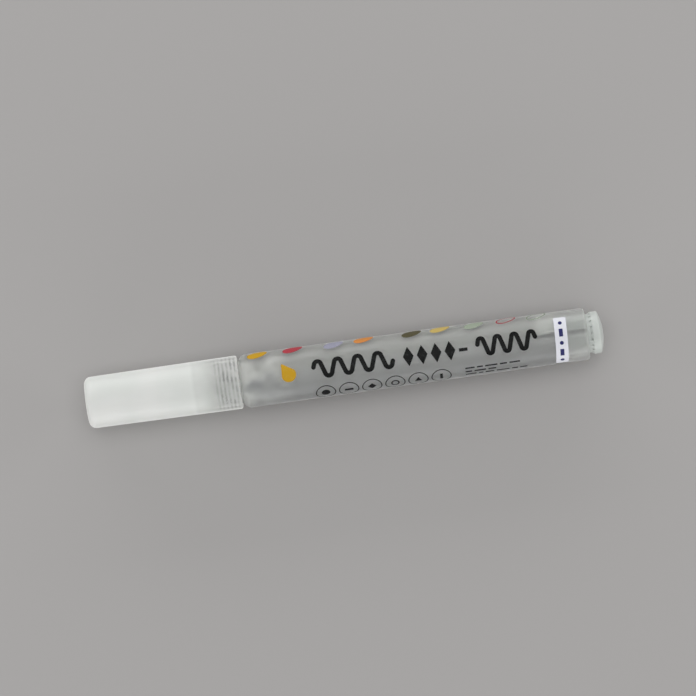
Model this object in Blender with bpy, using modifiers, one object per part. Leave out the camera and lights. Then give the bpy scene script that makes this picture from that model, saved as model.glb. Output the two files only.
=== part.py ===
"""Valve-action chalk paint marker: capped, lying on its side.

Every turned piece is drawn as a profile of (radius, station) pairs. Stations run along the
marker's axis and start at the barrel's front shoulder: the cap side is negative, the rear
plug is positive. An empty lays the axis along world +X, with the cap towards -X.
"""

import math

import bpy
from mathutils import Matrix, Vector

MM = 0.001

# Fits and clearances
FIT_GAP = 0.15 * MM
SLIDE_GAP = 0.2 * MM
SEAT_GAP = 0.2 * MM
BALL_GAP = 0.35 * MM

# Widest place, where the cap meets the barrel
MARKER_DIAMETER = 15.1 * MM

# Cap: a taper is how much narrower the far end is, across
CAP_END_TAPER = 0.6 * MM
CAP_WALL = 1.05 * MM
CAP_END_WALL = 1.25 * MM
CAP_END_THICKNESS = 1.4 * MM
CAP_END_EDGE_RADIUS = 1.9 * MM
CAP_MOUTH_EDGE_RADIUS = 0.9 * MM
CAP_TIP_ROOM = 5.3 * MM

# Seal liner inside the cap
LINER_BASE_THICKNESS = 1.0 * MM
LINER_WALL = 0.8 * MM
LINER_OVERLAP = 3.0 * MM

# Barrel and its neck
BARREL_LENGTH = 97.6 * MM
BARREL_REAR_TAPER = 0.5 * MM
BARREL_REAR_WALL = 1.4 * MM
BARREL_FRONT_EDGE_RADIUS = 2.2 * MM
BARREL_REAR_EDGE_RADIUS = 0.8 * MM
CHAMBER_CONE_LENGTH = 2.0 * MM
CHAMBER_CONE_START = 1.0 * MM
NECK_LENGTH = 13.0 * MM
NECK_BORE_DIAMETER = 9.4 * MM
NECK_RING_HEIGHT = 0.25 * MM
NECK_RING_WIDTH = 0.6 * MM
NECK_RING_PITCH = 1.1 * MM
NECK_RING_COUNT = 5
NECK_RING_START = 1.7 * MM

# Rear plug
PLUG_LEDGE = 0.3 * MM
PLUG_DEPTH = 8.6 * MM
PLUG_STAND_OUT = 3.4 * MM
PLUG_DOME_HEIGHT = 1.2 * MM
PLUG_GROOVE_DEPTH = 0.5 * MM
PLUG_GROOVE_WIDTH = 0.7 * MM
PLUG_GROOVE_SLOPE = 0.9 * MM
PLUG_WALL = 1.2 * MM
PLUG_RIB_HEIGHT = 0.1 * MM
PLUG_RIB_WIDTH = 0.9 * MM
PLUG_RIB_PITCH = 3.0 * MM
PLUG_RIB_COUNT = 2

# Nose that carries the nib and the valve
NOSE_FLANGE_THICKNESS = 1.2 * MM
NOSE_LENGTH = 15.8 * MM
NOSE_COLLAR_LENGTH = 5.0 * MM
NOSE_COLLAR_STEP = 0.8 * MM
NOSE_LAND_LENGTH = 4.5 * MM
NOSE_TIP_WALL = 1.1 * MM
NOSE_TIP_EDGE_RADIUS = 0.5 * MM
SPIGOT_LENGTH = 9.0 * MM
SPIGOT_WALL = 1.0 * MM
SPIGOT_RIB_HEIGHT = 0.1 * MM
SPIGOT_RIB_WIDTH = 0.8 * MM
SPIGOT_RIB_PITCH = 2.6 * MM
SPIGOT_RIB_COUNT = 2

# Nib
NIB_DIAMETER = 5.0 * MM
NIB_LENGTH = 14.2 * MM
NIB_PROTRUSION = 5.4 * MM
NIB_BULLET_LENGTH = 3.4 * MM
NIB_TIP_DIAMETER = 1.8 * MM
NIB_REAR_CHAMFER = 0.3 * MM

# Valve behind the nib
PRESS_TRAVEL = 1.8 * MM
PRESS_MARGIN = 0.4 * MM
WEB_THICKNESS = 1.4 * MM
POPPET_OVERLAP = 0.2 * MM
FLOW_GAP = 0.8 * MM
GASKET_THICKNESS = 1.2 * MM
GASKET_HOLE_STEP = 0.1 * MM
CAGE_LENGTH = 16.0 * MM
CAGE_WALL = 0.8 * MM
CAGE_END_THICKNESS = 1.1 * MM
CAGE_SLOT_WIDTH = 2.0 * MM
CAGE_SLOT_LAND = 0.5 * MM
POPPET_SKIRT_LENGTH = 1.2 * MM
REAR_STEM_DIAMETER = 1.8 * MM
REAR_STEM_OVERHANG = 1.2 * MM
SPRING_WIRE_DIAMETER = 0.5 * MM
SPRING_CLEARANCE = 0.4 * MM
SPRING_TURNS = 8

# Mixing ball loose in the chamber
BALL_DIAMETER = 6.0 * MM

# Most of a wall's thickness that a rounded edge may take
EDGE_SHARE = 0.9

# Facets
OUTER_STEPS = 32
INNER_STEPS = 24
ARC_STEPS = 3
SPRING_POINTS_PER_TURN = 9
BALL_SEGMENTS = 20
BALL_RINGS = 12
SHARP_ANGLE = math.radians(32)

# Radii that follow from the sizes above: the outside first, then the valve from the neck's bore inwards
MARKER_R = MARKER_DIAMETER / 2
CAP_END_R = MARKER_R - CAP_END_TAPER / 2
CAP_BORE_R = MARKER_R - CAP_WALL
CAP_END_BORE_R = CAP_END_R - CAP_END_WALL
BARREL_REAR_R = MARKER_R - BARREL_REAR_TAPER / 2
CHAMBER_R = BARREL_REAR_R - BARREL_REAR_WALL
NECK_RING_R = CAP_BORE_R - SLIDE_GAP
NECK_R = NECK_RING_R - NECK_RING_HEIGHT
NECK_BORE_R = NECK_BORE_DIAMETER / 2
SPIGOT_RIB_R = NECK_BORE_R - FIT_GAP
SPIGOT_R = SPIGOT_RIB_R - SPIGOT_RIB_HEIGHT
VALVE_BORE_R = SPIGOT_R - SPIGOT_WALL
CAGE_R = VALVE_BORE_R - FIT_GAP
CAGE_BORE_R = CAGE_R - CAGE_WALL
POPPET_R = CAGE_BORE_R - SLIDE_GAP
NIB_R = NIB_DIAMETER / 2
NIB_BORE_R = NIB_R + SLIDE_GAP
NOSE_LAND_R = NIB_BORE_R + NOSE_TIP_WALL
NOSE_COLLAR_R = NECK_R - NOSE_COLLAR_STEP
LINER_BORE_R = NOSE_LAND_R + SLIDE_GAP
LINER_BASE_R = CAP_END_BORE_R - FIT_GAP
GASKET_HOLE_R = POPPET_R - POPPET_OVERLAP
WEB_HOLE_R = GASKET_HOLE_R - GASKET_HOLE_STEP
FRONT_STEM_R = WEB_HOLE_R - FLOW_GAP
REAR_STEM_R = REAR_STEM_DIAMETER / 2
SPRING_WIRE_R = SPRING_WIRE_DIAMETER / 2
SPRING_R = REAR_STEM_R + SPRING_CLEARANCE + SPRING_WIRE_R
PLUG_BORE_R = CHAMBER_R + PLUG_LEDGE
PLUG_RIB_R = PLUG_BORE_R - FIT_GAP
PLUG_R = PLUG_RIB_R - PLUG_RIB_HEIGHT
BALL_R = BALL_DIAMETER / 2

# Stations that follow from the sizes above
CAP_MOUTH = -SEAT_GAP
NECK_FRONT = -NECK_LENGTH
FLANGE_REAR = NECK_FRONT - SEAT_GAP
FLANGE_FRONT = FLANGE_REAR - NOSE_FLANGE_THICKNESS
NOSE_TIP = FLANGE_FRONT - NOSE_LENGTH
SPIGOT_REAR = FLANGE_REAR + SPIGOT_LENGTH
NIB_TIP = NOSE_TIP - NIB_PROTRUSION
NIB_REAR = NIB_TIP + NIB_LENGTH
WEB_FRONT = NIB_REAR + PRESS_TRAVEL + PRESS_MARGIN
WEB_REAR = WEB_FRONT + WEB_THICKNESS
GASKET_FRONT = WEB_REAR + SEAT_GAP
GASKET_REAR = GASKET_FRONT + GASKET_THICKNESS
CAGE_FRONT = GASKET_REAR + SEAT_GAP
CAGE_REAR = CAGE_FRONT + CAGE_LENGTH
CAGE_FLOOR = CAGE_REAR - CAGE_END_THICKNESS
STEM_REAR = CAGE_REAR + REAR_STEM_OVERHANG
LINER_FLOOR = NIB_TIP - CAP_TIP_ROOM
LINER_END = LINER_FLOOR - LINER_BASE_THICKNESS
LINER_LIP = NOSE_TIP + LINER_OVERLAP
CAP_FLOOR = LINER_END - SEAT_GAP
CAP_END = CAP_FLOOR - CAP_END_THICKNESS
BARREL_REAR = BARREL_LENGTH
PLUG_FRONT = BARREL_REAR - PLUG_DEPTH
PLUG_EDGE = BARREL_REAR + PLUG_STAND_OUT
PLUG_END = PLUG_EDGE + PLUG_DOME_HEIGHT
BALL_STATION = STEM_REAR + PRESS_TRAVEL + SEAT_GAP + BALL_R
BALL_DROP = CHAMBER_R - BALL_R - BALL_GAP

# Material: name, colour, roughness, metallic
FINISHES = {
    "cap_white": ((0.80, 0.81, 0.79), 0.34, 0.0),
    "barrel_frosted": ((0.55, 0.56, 0.55), 0.30, 0.0),
    "plug_white": ((0.74, 0.77, 0.75), 0.36, 0.0),
    "nose_white": ((0.84, 0.84, 0.82), 0.38, 0.0),
    "liner_natural": ((0.82, 0.83, 0.81), 0.45, 0.0),
    "nib_felt": ((0.62, 0.62, 0.60), 0.90, 0.0),
    "gasket_rubber": ((0.10, 0.10, 0.10), 0.70, 0.0),
    "valve_natural": ((0.80, 0.80, 0.76), 0.42, 0.0),
    "spring_steel": ((0.62, 0.62, 0.63), 0.28, 1.0),
    "ball_steel": ((0.70, 0.70, 0.71), 0.16, 1.0),
}


def clear_scene():
    for obj in list(bpy.data.objects):
        bpy.data.objects.remove(obj, do_unlink=True)


def new_collection(name):
    made = bpy.data.collections.new(name)
    bpy.context.scene.collection.children.link(made)
    return made


def finish_material(name):
    colour, roughness, metallic = FINISHES[name]
    made = bpy.data.materials.new(name)
    made.use_nodes = True
    shader = made.node_tree.nodes["Principled BSDF"]
    shader.inputs["Base Color"].default_value = (*colour, 1.0)
    shader.inputs["Roughness"].default_value = roughness
    shader.inputs["Metallic"].default_value = metallic
    return made


def arc(centre_r, centre_s, radius, start_degrees, end_degrees, steps=ARC_STEPS):
    """Points on a circle in the profile plane; 0 degrees points outwards, 90 towards the rear."""
    points = []
    for i in range(steps + 1):
        angle = math.radians(start_degrees + (end_degrees - start_degrees) * i / steps)
        points.append((centre_r + radius * math.cos(angle), centre_s + radius * math.sin(angle)))
    return points


def raised_band(radius, height, low, high):
    """A rib with sloping flanks on an outer wall, walked from the rear to the front."""
    return [
        (radius, high),
        (radius + height, high - height),
        (radius + height, low + height),
        (radius, low),
    ]


def ribs(radius, height, width, pitch, count, first_centre):
    """Evenly spaced ribs walked from the rear to the front; first_centre is the rearmost."""
    points = []
    for i in range(count):
        centre = first_centre - i * pitch
        points += raised_band(radius, height, centre - width / 2, centre + width / 2)
    return points


class Workshop:
    """Makes objects in the marker's collection, on the empty that carries its axis."""

    def __init__(self):
        self.parts = new_collection("chalk_paint_marker")
        self.cutters = new_collection("cutters")
        self.cutters.hide_render = True
        self.axis = bpy.data.objects.new("marker_axis", None)
        self.parts.objects.link(self.axis)
        self.axis.matrix_world = axis_placement()

    def add(self, name, data, finish):
        obj = bpy.data.objects.new(name, data)
        obj.parent = self.axis
        self.parts.objects.link(obj)
        data.materials.append(finish_material(finish))
        return obj

    def turn(self, name, profile, finish, steps, closed=False):
        """Spins a profile round the axis: its outer side runs from the rear to the front."""
        edges = [(i, i + 1) for i in range(len(profile) - 1)]
        if closed:
            edges.append((len(profile) - 1, 0))
        mesh = bpy.data.meshes.new(name)
        mesh.from_pydata([(r, 0.0, s) for r, s in profile], edges, [])
        obj = self.add(name, mesh, finish)
        screw = obj.modifiers.new("Turn", "SCREW")
        screw.axis = "Z"
        screw.steps = steps
        screw.render_steps = steps
        screw.use_merge_vertices = True
        screw.merge_threshold = 0.01 * MM
        screw.use_smooth_shade = True
        return obj

    def slot_cutter(self, name, width, length, reach, station, turn):
        """A box through the axis, which cuts two opposite slots."""
        bpy.ops.mesh.primitive_cube_add(size=1.0)
        box = bpy.context.object
        box.name = name
        box.data.transform(Matrix.Diagonal((reach, width, length, 1.0)))
        box.parent = self.axis
        box.location = (0.0, 0.0, station)
        box.rotation_euler = (0.0, 0.0, turn)
        box.hide_render = True
        box.display_type = "WIRE"
        for collection in list(box.users_collection):
            collection.objects.unlink(box)
        self.cutters.objects.link(box)
        return box


def axis_placement():
    """Axis along world +X, a flat facet underneath, the lowest wall on the ground."""
    half_facet = math.pi / OUTER_STEPS
    widest = max(MARKER_R, CAP_END_R, BARREL_REAR_R)
    height = widest * math.cos(half_facet)
    middle = (CAP_END + PLUG_END) / 2
    lay_down = Matrix.Rotation(math.pi / 2, 4, "Y") @ Matrix.Rotation(half_facet, 4, "Z")
    return Matrix.Translation((-middle, 0.0, height)) @ lay_down


def cut(obj, cutter):
    boolean = obj.modifiers.new("Cut " + cutter.name, "BOOLEAN")
    boolean.operation = "DIFFERENCE"
    boolean.object = cutter


def settle_shading(obj):
    """Bakes the modifiers and keeps edges crisp where the profile turns a corner."""
    bpy.context.view_layer.update()
    graph = bpy.context.evaluated_depsgraph_get()
    mesh = bpy.data.meshes.new_from_object(obj.evaluated_get(graph))
    obj.modifiers.clear()
    obj.data = mesh
    mesh.shade_smooth()
    mesh.set_sharp_from_angle(angle=SHARP_ANGLE)


def make_cap(shop):
    mouth_edge = min(CAP_MOUTH_EDGE_RADIUS, EDGE_SHARE * CAP_WALL)
    end_edge = CAP_END_EDGE_RADIUS
    profile = [
        (0.0, CAP_FLOOR),
        (CAP_END_BORE_R, CAP_FLOOR),
        (CAP_BORE_R, FLANGE_FRONT - SEAT_GAP),
        (CAP_BORE_R, CAP_MOUTH),
    ]
    profile += arc(MARKER_R - mouth_edge, CAP_MOUTH - mouth_edge, mouth_edge, 90, 0)
    profile += arc(CAP_END_R - end_edge, CAP_END + end_edge, end_edge, 0, -90)
    profile.append((0.0, CAP_END))
    return shop.turn("cap_shell", profile, "cap_white", OUTER_STEPS)


def make_liner(shop):
    tube_r = LINER_BORE_R + LINER_WALL
    profile = [
        (0.0, LINER_FLOOR),
        (LINER_BORE_R, LINER_FLOOR),
        (LINER_BORE_R, LINER_LIP),
        (tube_r, LINER_LIP),
        (tube_r, LINER_FLOOR),
        (LINER_BASE_R, LINER_FLOOR),
        (LINER_BASE_R, LINER_END),
        (0.0, LINER_END),
    ]
    return shop.turn("cap_seal_liner", profile, "liner_natural", INNER_STEPS)


def make_barrel(shop):
    front_edge = BARREL_FRONT_EDGE_RADIUS
    shoulder_r = MARKER_R - front_edge
    neck_angle = math.degrees(math.acos(max(0.0, NECK_R - shoulder_r) / front_edge))
    rear_edge = min(BARREL_REAR_EDGE_RADIUS, EDGE_SHARE * (BARREL_REAR_R - PLUG_BORE_R))
    profile = [(PLUG_BORE_R, BARREL_REAR)]
    profile += arc(BARREL_REAR_R - rear_edge, BARREL_REAR - rear_edge, rear_edge, 90, 0)
    profile += arc(shoulder_r, front_edge, front_edge, 0, -neck_angle, 2 * ARC_STEPS)
    profile.append((NECK_R, 0.0))
    profile += ribs(
        NECK_R, NECK_RING_HEIGHT, NECK_RING_WIDTH, NECK_RING_PITCH, NECK_RING_COUNT, -NECK_RING_START
    )
    profile += [
        (NECK_R, NECK_FRONT),
        (NECK_BORE_R, NECK_FRONT),
        (NECK_BORE_R, CHAMBER_CONE_START),
        (CHAMBER_R, CHAMBER_CONE_START + CHAMBER_CONE_LENGTH),
        (CHAMBER_R, PLUG_FRONT - SEAT_GAP),
        (PLUG_BORE_R, PLUG_FRONT - SEAT_GAP),
    ]
    return shop.turn("barrel", profile, "barrel_frosted", OUTER_STEPS, closed=True)


def make_plug(shop):
    """A cup pressed into the rear of the barrel: a domed head, with a groove round it at the rim."""
    dome_r = (PLUG_R**2 + PLUG_DOME_HEIGHT**2) / (2 * PLUG_DOME_HEIGHT)
    dome_angle = math.degrees(math.asin(PLUG_R / dome_r))
    bore_r = PLUG_R - PLUG_WALL
    groove_r = PLUG_R - PLUG_GROOVE_DEPTH
    groove_rear = BARREL_REAR + PLUG_GROOVE_WIDTH
    profile = arc(0.0, PLUG_END - dome_r, dome_r, 90, 90 - dome_angle, 2 * ARC_STEPS)
    profile[0] = (0.0, PLUG_END)
    profile += [
        (PLUG_R, groove_rear + PLUG_GROOVE_SLOPE),
        (groove_r, groove_rear),
        (groove_r, BARREL_REAR),
        (PLUG_R, BARREL_REAR - PLUG_GROOVE_DEPTH),
    ]
    profile += ribs(
        PLUG_R, PLUG_RIB_HEIGHT, PLUG_RIB_WIDTH, PLUG_RIB_PITCH, PLUG_RIB_COUNT, BARREL_REAR - PLUG_RIB_PITCH
    )
    profile += [
        (PLUG_R, PLUG_FRONT),
        (bore_r, PLUG_FRONT),
        (bore_r, PLUG_EDGE - PLUG_WALL),
        (0.0, PLUG_EDGE - PLUG_WALL),
    ]
    return shop.turn("rear_plug", profile, "plug_white", OUTER_STEPS)


def make_nose(shop):
    edge = min(NOSE_TIP_EDGE_RADIUS, EDGE_SHARE * NOSE_TIP_WALL)
    profile = [(VALVE_BORE_R, SPIGOT_REAR), (SPIGOT_R, SPIGOT_REAR)]
    profile += ribs(
        SPIGOT_R,
        SPIGOT_RIB_HEIGHT,
        SPIGOT_RIB_WIDTH,
        SPIGOT_RIB_PITCH,
        SPIGOT_RIB_COUNT,
        SPIGOT_REAR - SPIGOT_RIB_PITCH,
    )
    profile += [
        (SPIGOT_R, FLANGE_REAR),
        (NECK_R, FLANGE_REAR),
        (NECK_R, FLANGE_FRONT),
        (NOSE_COLLAR_R, FLANGE_FRONT),
        (NOSE_COLLAR_R, FLANGE_FRONT - NOSE_COLLAR_LENGTH),
        (NOSE_LAND_R, NOSE_TIP + NOSE_LAND_LENGTH),
    ]
    profile += arc(NOSE_LAND_R - edge, NOSE_TIP + edge, edge, 0, -90)
    profile += [
        (NIB_BORE_R, NOSE_TIP),
        (NIB_BORE_R, WEB_FRONT),
        (WEB_HOLE_R, WEB_FRONT),
        (WEB_HOLE_R, WEB_REAR),
        (VALVE_BORE_R, WEB_REAR),
    ]
    return shop.turn("nose_section", profile, "nose_white", INNER_STEPS, closed=True)


def make_nib(shop):
    """A pressed-fibre rod with a bullet point, drawn as a quarter ellipse down to a small flat."""
    tip_r = NIB_TIP_DIAMETER / 2
    steps = 2 * ARC_STEPS
    profile = [(0.0, NIB_REAR), (NIB_R - NIB_REAR_CHAMFER, NIB_REAR), (NIB_R, NIB_REAR - NIB_REAR_CHAMFER)]
    for i in range(steps + 1):
        angle = math.pi / 2 * i / steps
        radius = tip_r + (NIB_R - tip_r) * math.cos(angle)
        profile.append((radius, NIB_TIP + NIB_BULLET_LENGTH * (1 - math.sin(angle))))
    profile.append((0.0, NIB_TIP))
    return shop.turn("nib", profile, "nib_felt", INNER_STEPS)


def make_gasket(shop):
    outer_r = VALVE_BORE_R - FIT_GAP
    profile = [
        (GASKET_HOLE_R, GASKET_REAR),
        (outer_r, GASKET_REAR),
        (outer_r, GASKET_FRONT),
        (GASKET_HOLE_R, GASKET_FRONT),
    ]
    return shop.turn("valve_gasket", profile, "gasket_rubber", INNER_STEPS, closed=True)


def poppet_skirt_front():
    """Where the 45 degree sealing cone, a seat gap off the gasket's edge, reaches full width."""
    cone_r_at_seat = GASKET_HOLE_R - SEAT_GAP * math.sqrt(2)
    return GASKET_REAR + POPPET_R - cone_r_at_seat


def make_plunger(shop):
    skirt_front = poppet_skirt_front()
    skirt_rear = skirt_front + POPPET_SKIRT_LENGTH
    profile = [
        (0.0, STEM_REAR),
        (REAR_STEM_R, STEM_REAR),
        (REAR_STEM_R, skirt_rear),
        (POPPET_R, skirt_rear),
        (POPPET_R, skirt_front),
        (FRONT_STEM_R, skirt_front - (POPPET_R - FRONT_STEM_R)),
        (FRONT_STEM_R, NIB_REAR + SEAT_GAP),
        (0.0, NIB_REAR + SEAT_GAP),
    ]
    return shop.turn("valve_plunger", profile, "valve_natural", INNER_STEPS)


def make_cage(shop):
    guide_r = REAR_STEM_R + SLIDE_GAP
    profile = [
        (guide_r, CAGE_REAR),
        (CAGE_R, CAGE_REAR),
        (CAGE_R, CAGE_FRONT),
        (CAGE_BORE_R, CAGE_FRONT),
        (CAGE_BORE_R, CAGE_FLOOR),
        (guide_r, CAGE_FLOOR),
    ]
    cage = shop.turn("valve_cage", profile, "valve_natural", INNER_STEPS, closed=True)
    slot_front = SPIGOT_REAR + CAGE_SLOT_LAND
    slot_rear = CAGE_FLOOR - CAGE_SLOT_LAND
    for i in range(2):
        cutter = shop.slot_cutter(
            f"cage_slot_{i + 1}",
            CAGE_SLOT_WIDTH,
            slot_rear - slot_front,
            4 * CAGE_R,
            (slot_front + slot_rear) / 2,
            i * math.pi / 2,
        )
        cut(cage, cutter)
    return cage


def make_spring(shop):
    """A helix of round wire round the rear stem, from the poppet to the cage floor."""
    front = poppet_skirt_front() + POPPET_SKIRT_LENGTH + SEAT_GAP + SPRING_WIRE_R
    rear = CAGE_FLOOR - SEAT_GAP - SPRING_WIRE_R
    count = SPRING_TURNS * SPRING_POINTS_PER_TURN
    points = []
    for i in range(count + 1):
        angle = 2 * math.pi * i / SPRING_POINTS_PER_TURN
        station = front + (rear - front) * i / count
        points.append(Vector((SPRING_R * math.cos(angle), SPRING_R * math.sin(angle), station)))
    curve = bpy.data.curves.new("valve_spring", "CURVE")
    curve.dimensions = "3D"
    curve.bevel_depth = SPRING_WIRE_R
    curve.bevel_resolution = 1
    curve.use_fill_caps = True
    spline = curve.splines.new("POLY")
    spline.points.add(len(points) - 1)
    for point, place in zip(spline.points, points):
        point.co = (*place, 1.0)
    apart = min(
        (points[i] - points[j]).length
        for i in range(len(points))
        for j in range(i + SPRING_POINTS_PER_TURN // 2, len(points))
    )
    print(f"valve_spring least gap to itself: {(apart - SPRING_WIRE_DIAMETER) / MM:.2f} mm")
    return shop.add("valve_spring", curve, "spring_steel")


def make_ball(shop):
    bpy.ops.mesh.primitive_uv_sphere_add(segments=BALL_SEGMENTS, ring_count=BALL_RINGS, radius=BALL_R)
    made = bpy.context.object
    mesh = made.data
    bpy.data.objects.remove(made)
    ball = shop.add("mixing_ball", mesh, "ball_steel")
    down = shop.axis.matrix_world.to_3x3().inverted() @ Vector((0.0, 0.0, -1.0))
    ball.location = down * BALL_DROP + Vector((0.0, 0.0, BALL_STATION))
    mesh.shade_smooth()
    return ball


def print_stations():
    """World positions that describe how the pieces move."""
    shift = -(CAP_END + PLUG_END) / 2
    ball_travel = PLUG_FRONT - SEAT_GAP - BALL_R - BALL_STATION
    places = {
        "length": PLUG_END - CAP_END,
        "cap end x": CAP_END + shift,
        "cap mouth x": CAP_MOUTH + shift,
        "cap travel to clear the nib": CAP_MOUTH - NIB_TIP,
        "liner floor x": LINER_FLOOR + shift,
        "liner bore radius": LINER_BORE_R,
        "nib tip x": NIB_TIP + shift,
        "spring rear end x": CAGE_FLOOR - SEAT_GAP + shift,
        "ball x": BALL_STATION + shift,
        "ball travel": ball_travel,
        "barrel shoulder x": shift,
        "barrel rear x": BARREL_REAR + shift,
        "plug end x": PLUG_END + shift,
        "axis height": axis_placement().translation.z,
    }
    for name, value in places.items():
        print(f"{name}: {value / MM:.3f} mm")


def main():
    clear_scene()
    shop = Workshop()
    turned = [
        make_cap(shop),
        make_liner(shop),
        make_barrel(shop),
        make_plug(shop),
        make_nose(shop),
        make_nib(shop),
        make_gasket(shop),
        make_plunger(shop),
        make_cage(shop),
    ]
    make_spring(shop)
    make_ball(shop)
    for obj in turned:
        settle_shading(obj)
    print_stations()


main()
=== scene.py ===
import math

import bmesh
import bpy
from mathutils import Matrix, Vector


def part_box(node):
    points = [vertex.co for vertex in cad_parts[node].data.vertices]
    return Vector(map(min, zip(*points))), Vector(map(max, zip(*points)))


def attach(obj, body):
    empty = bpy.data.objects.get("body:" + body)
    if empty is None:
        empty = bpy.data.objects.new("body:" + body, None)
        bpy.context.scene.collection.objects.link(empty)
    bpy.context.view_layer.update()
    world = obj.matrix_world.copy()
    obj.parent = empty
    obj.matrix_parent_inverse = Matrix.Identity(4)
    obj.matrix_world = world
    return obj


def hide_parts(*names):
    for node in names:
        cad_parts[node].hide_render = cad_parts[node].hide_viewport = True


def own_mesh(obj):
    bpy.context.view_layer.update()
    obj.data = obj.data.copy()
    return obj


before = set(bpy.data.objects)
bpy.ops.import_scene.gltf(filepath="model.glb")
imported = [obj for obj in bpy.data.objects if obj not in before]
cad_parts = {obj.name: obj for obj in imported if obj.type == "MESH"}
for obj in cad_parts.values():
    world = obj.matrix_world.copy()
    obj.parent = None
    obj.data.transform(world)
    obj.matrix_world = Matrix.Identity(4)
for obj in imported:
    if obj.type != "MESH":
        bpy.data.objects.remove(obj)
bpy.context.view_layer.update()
print("frame loaded:", len(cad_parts), "nodes")

mm = 0.001  # sizes below are millimetres
fullTurn = 2 * math.pi
capGap = 0.2  # the cap stops just short of the barrel


def spanX(node):
    low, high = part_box(node)
    return low.x / mm, high.x / mm


capEnd, capMouth = spanX("cap_shell")
linerEnd, linerLip = spanX("cap_seal_liner")
nibTip, nibRear = spanX("nib")
noseTip, spigotRear = spanX("nose_section")
neckFront, barrelRim = spanX("barrel")
plugFront, plugEnd = spanX("rear_plug")
gasketFront, gasketRear = spanX("valve_gasket")
stemFront, stemRear = spanX("valve_plunger")
cageFront, cageRear = spanX("valve_cage")
springFront, springRear = spanX("valve_spring")
barrelBottom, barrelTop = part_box("barrel")
axisHeight = (barrelBottom.z + barrelTop.z) / 2
bodyRadius = (barrelTop.z - barrelBottom.z) / 2 / mm
shoulder = capMouth + capGap
neckRings = {"start": 1.7, "pitch": 1.1, "count": 5}  # snap rings, from the shoulder forwards
ringPlaces = [neckRings["start"] + i * neckRings["pitch"] for i in range(neckRings["count"])]
firstRing = shoulder - ringPlaces[0]
lastRing = shoulder - ringPlaces[-1]


# general tools


def srgb(red, green, blue):
    # colours are written as a screen shows them, and shaders take them linear
    shares = [c / 255 for c in (red, green, blue)]
    return [c / 12.92 if c <= 0.04045 else ((c + 0.055) / 1.055) ** 2.4 for c in shares] + [1.0]


# roundings that the mouldings share
crispEdge = 0.1
sealEdge = 0.12
fineEdge = 0.15
easedEdge = 0.2
softEdge = 0.3
broadEdge = 0.5

turning = {
    "mergeReach": 0.002,  # points nearer than this are one
    "tubeReach": 0.0001,
    "ringReach": 0.01,  # how near a ring its own points lie
    "wideSegments": 5,  # of a rounding wider than softEdge
    "segments": 3,
    "sharpAngle": 40.0,  # degrees
}


def turnOutline(corners, segments):
    # corners are (x, radius, rounding); an outline that starts off the axis closes on itself
    bm = bmesh.new()
    points = [bm.verts.new((x * mm, 0, axisHeight + radius * mm)) for x, radius, _ in corners]
    for a, b in zip(points, points[1:]):
        bm.edges.new((a, b))
    if corners[0][1] > 0:
        bm.edges.new((points[-1], points[0]))
    bmesh.ops.spin(
        bm,
        geom=bm.verts[:] + bm.edges[:],
        cent=(0, 0, axisHeight),
        axis=(1, 0, 0),
        angle=fullTurn,
        steps=segments,
        use_merge=True,
        use_duplicate=False,
    )
    bmesh.ops.remove_doubles(bm, verts=bm.verts[:], dist=turning["mergeReach"] * mm)
    bmesh.ops.recalc_face_normals(bm, faces=bm.faces[:])
    for x, radius, rounding in corners:
        if rounding:
            roundRing(bm, x, radius, rounding)
    return bm


def fromAxis(point):
    return math.hypot(point.y, point.z - axisHeight) / mm


def roundRing(bm, x, radius, rounding):
    def onRing(vert):
        return max(abs(vert.co.x / mm - x), abs(fromAxis(vert.co) - radius)) < turning["ringReach"]

    bmesh.ops.bevel(
        bm,
        geom=[e for e in bm.edges if onRing(e.verts[0]) and onRing(e.verts[1])],
        offset=rounding * mm,
        offset_type="OFFSET",
        segments=turning["wideSegments"] if rounding > softEdge else turning["segments"],
        profile=0.5,
        affect="EDGES",
        clamp_overlap=True,
        material=-1,
    )


def ribCorners(start, radius, c):
    # half widths at foot and crest are negative where the outline runs towards the rear
    foot, crest = c["ribHalves"]
    top, rounding = c["ribRadius"], c.get("ribRounding", 0)
    corners = []
    for place in c["ribPlaces"]:
        x = start - place
        corners += [(x + foot, radius, 0), (x + crest, top, rounding)]
        corners += [(x - crest, top, rounding), (x - foot, radius, 0)]
    return corners


def meshFrom(name, bm):
    mesh = bpy.data.meshes.new(name)
    bm.to_mesh(mesh)
    bm.free()
    return mesh


def addObject(name, data):
    made = bpy.data.objects.new(name, data)
    bpy.context.scene.collection.objects.link(made)
    return made


def finishedMesh(made):
    bpy.context.view_layer.update()
    graph = bpy.context.evaluated_depsgraph_get()
    return bpy.data.meshes.new_from_object(made.evaluated_get(graph))


def addTube(name, points, radius, resolution):
    # a curve with a round section and closed ends
    curve = bpy.data.curves.new(name, "CURVE")
    curve.dimensions = "3D"
    curve.bevel_depth = radius
    curve.bevel_resolution = resolution
    curve.use_fill_caps = True
    run = curve.splines.new("POLY").points
    run.add(len(points) - 1)
    for point, place in zip(run, points):
        point.co = (*place, 1)
    return curve, run


def curveToBmesh(curve):
    holder = addObject(curve.name, curve)
    mesh = finishedMesh(holder)
    bpy.data.objects.remove(holder)
    bm = bmesh.new()
    bm.from_mesh(mesh)
    bmesh.ops.remove_doubles(bm, verts=bm.verts[:], dist=turning["tubeReach"] * mm)
    bmesh.ops.recalc_face_normals(bm, faces=bm.faces[:])
    return bm


def makePiece(name, bm, finish, body, nodes):
    mesh = meshFrom(name, bm)
    mesh.shade_smooth()
    mesh.set_sharp_from_angle(angle=math.radians(turning["sharpAngle"]))
    mesh.materials.append(finish)
    piece = addObject(name, mesh)
    even = piece.modifiers.new("evenShading", "WEIGHTED_NORMAL")
    even.keep_sharp = True
    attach(piece, body)
    if nodes:
        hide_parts(*nodes)
    return piece


def turnPiece(name, corners, c, finish, body, nodes):
    return makePiece(name, turnOutline(corners, c["segments"]), finish, body, nodes)


# shader tools


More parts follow.
